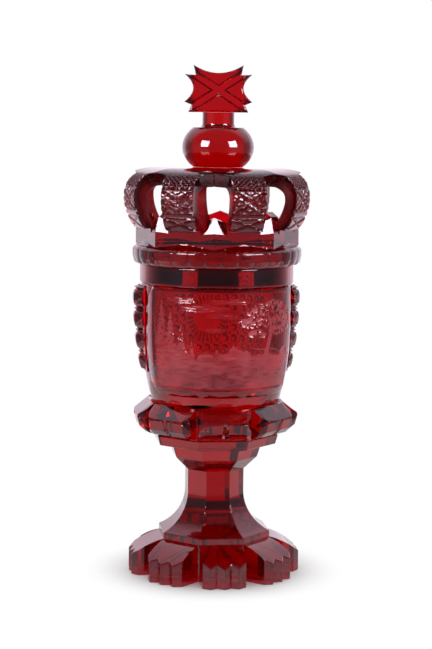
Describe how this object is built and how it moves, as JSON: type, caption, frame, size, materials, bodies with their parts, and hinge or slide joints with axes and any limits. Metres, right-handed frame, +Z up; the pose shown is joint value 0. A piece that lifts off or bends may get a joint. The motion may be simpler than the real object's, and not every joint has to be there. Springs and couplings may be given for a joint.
{
  "type": "covered goblet",
  "caption": "Tall covered goblet in cut ruby glass: lobed foot, faceted stem, barrel bowl with an engraved field and diamond-cut pads, and a lift-off crown cover with orb and cross.",
  "frame": {"origin": "middle of the foot's underside", "axes": "+Z up along the goblet's axis, -Y to the front, where the engraved field faces, +X to the right seen from the front"},
  "size_m": [0.1222, 0.1222, 0.3307],
  "materials": {
    "ruby_glass": "clear, polished",
    "cut_glass": "clear, with polished diamond cuts",
    "engraved_glass": "clear, with a matte engraving"
  },
  "bodies": {
    "goblet": {"foot": "ruby_glass", "stem": "ruby_glass", "shoulder": "ruby_glass", "collar_plate": "ruby_glass", "calyx": "ruby_glass", "bowl": "ruby_glass", "front_medallion": "engraved_glass", "back_medallion": "cut_glass", "left_pad": "cut_glass", "right_pad": "cut_glass"},
    "cover": {"cover_plug": "ruby_glass", "scalloped_band": "ruby_glass", "crown_ring": "ruby_glass", "crown_arch_1": "cut_glass", "crown_arch_2": "cut_glass", "crown_arch_3": "cut_glass", "crown_arch_4": "cut_glass", "crown_arch_5": "cut_glass", "crown_arch_6": "cut_glass", "crown_arch_7": "cut_glass", "crown_arch_8": "cut_glass", "crown_hub": "ruby_glass", "orb": "ruby_glass", "cross": "ruby_glass"}
  },
  "joints": [
    {"name": "cover_lift", "type": "slide", "parent": "goblet", "child": "cover", "axis": [0, 0, 1], "range_m": [0, 0.12]}
  ]
}
